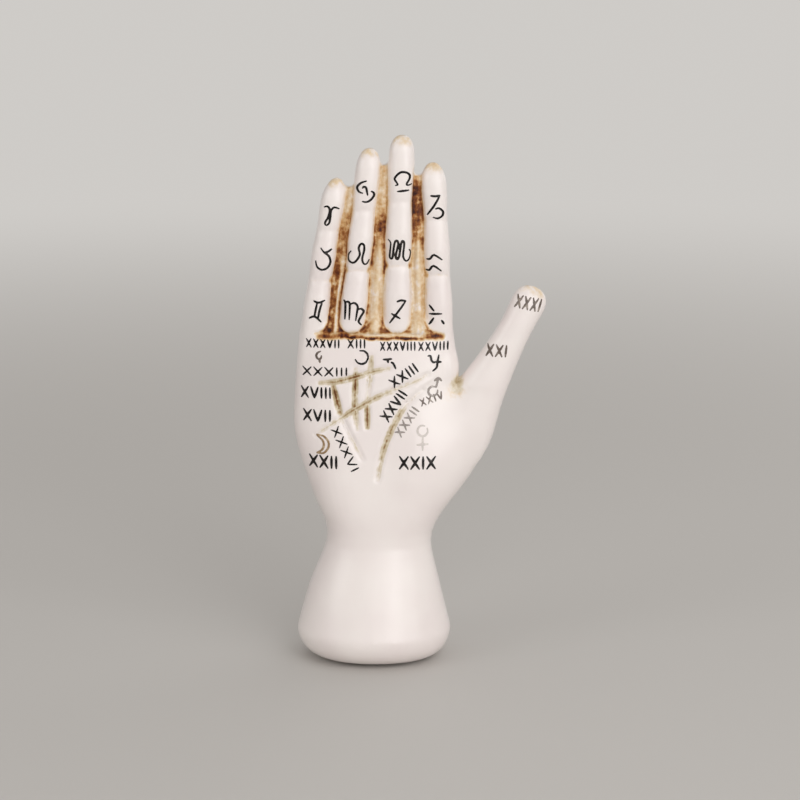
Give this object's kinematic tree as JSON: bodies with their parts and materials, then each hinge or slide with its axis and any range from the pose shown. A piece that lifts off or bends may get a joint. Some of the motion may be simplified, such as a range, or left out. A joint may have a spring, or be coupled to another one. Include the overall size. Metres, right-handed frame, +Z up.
{
  "type": "palmistry hand sculpture",
  "caption": "Upright hollow-cast glazed hand on a flared foot, palm marked with zodiac and planet signs, numerals and grooved palm lines, as a table ornament.",
  "frame": {"origin": "on the table under the middle of the foot, on the felt pad's underside", "axes": "+Z up along the fingers, the palm faces -Y, the thumb points to +X"},
  "size_m": [0.1063, 0.058, 0.225],
  "materials": {
    "glaze": "glossy cream-white glaze with a brown antique wash in the webs between the fingers",
    "stopper": "soft moulded, matt",
    "felt": "pressed felt, glued in",
    "black_transfer": "thin fired transfer, slightly glossy",
    "grey_transfer": "thin fired transfer, worn pale",
    "brown_transfer": "thin fired transfer, brown",
    "line_colour": "brown colour rubbed into the grooves, half matt"
  },
  "bodies": {
    "root": {"hand_casting": "glaze", "pour_hole_stopper": "stopper", "base_pad": "felt", "aries_sign": "black_transfer", "taurus_sign": "black_transfer", "gemini_sign": "black_transfer", "cancer_sign": "black_transfer", "leo_sign": "black_transfer", "virgo_sign": "black_transfer", "libra_sign": "black_transfer", "scorpio_sign": "black_transfer", "sagittarius_sign": "black_transfer", "capricorn_sign": "black_transfer", "aquarius_sign": "black_transfer", "pisces_sign": "black_transfer", "mercury_planet_sign": "black_transfer", "sun_planet_sign": "black_transfer", "saturn_planet_sign": "black_transfer", "jupiter_planet_sign": "black_transfer", "mars_planet_sign": "grey_transfer", "moon_planet_sign": "brown_transfer", "venus_planet_sign": "grey_transfer", "mercury_mount_label": "black_transfer", "sun_mount_label": "black_transfer", "saturn_mount_label": "black_transfer", "jupiter_mount_label": "black_transfer", "affection_label": "black_transfer", "heart_label": "black_transfer", "outer_mars_label": "black_transfer", "moon_mount_label": "black_transfer", "health_label": "black_transfer", "head_label": "black_transfer", "fate_label": "black_transfer", "life_label": "grey_transfer", "inner_mars_label": "grey_transfer", "venus_mount_label": "black_transfer", "will_label": "black_transfer", "logic_label": "black_transfer", "heart_line_fill": "line_colour", "head_line_fill": "line_colour", "life_line_fill": "line_colour", "fate_line_fill": "line_colour", "sun_line_fill": "line_colour", "health_line_fill": "line_colour"}
  },
  "joints": []
}
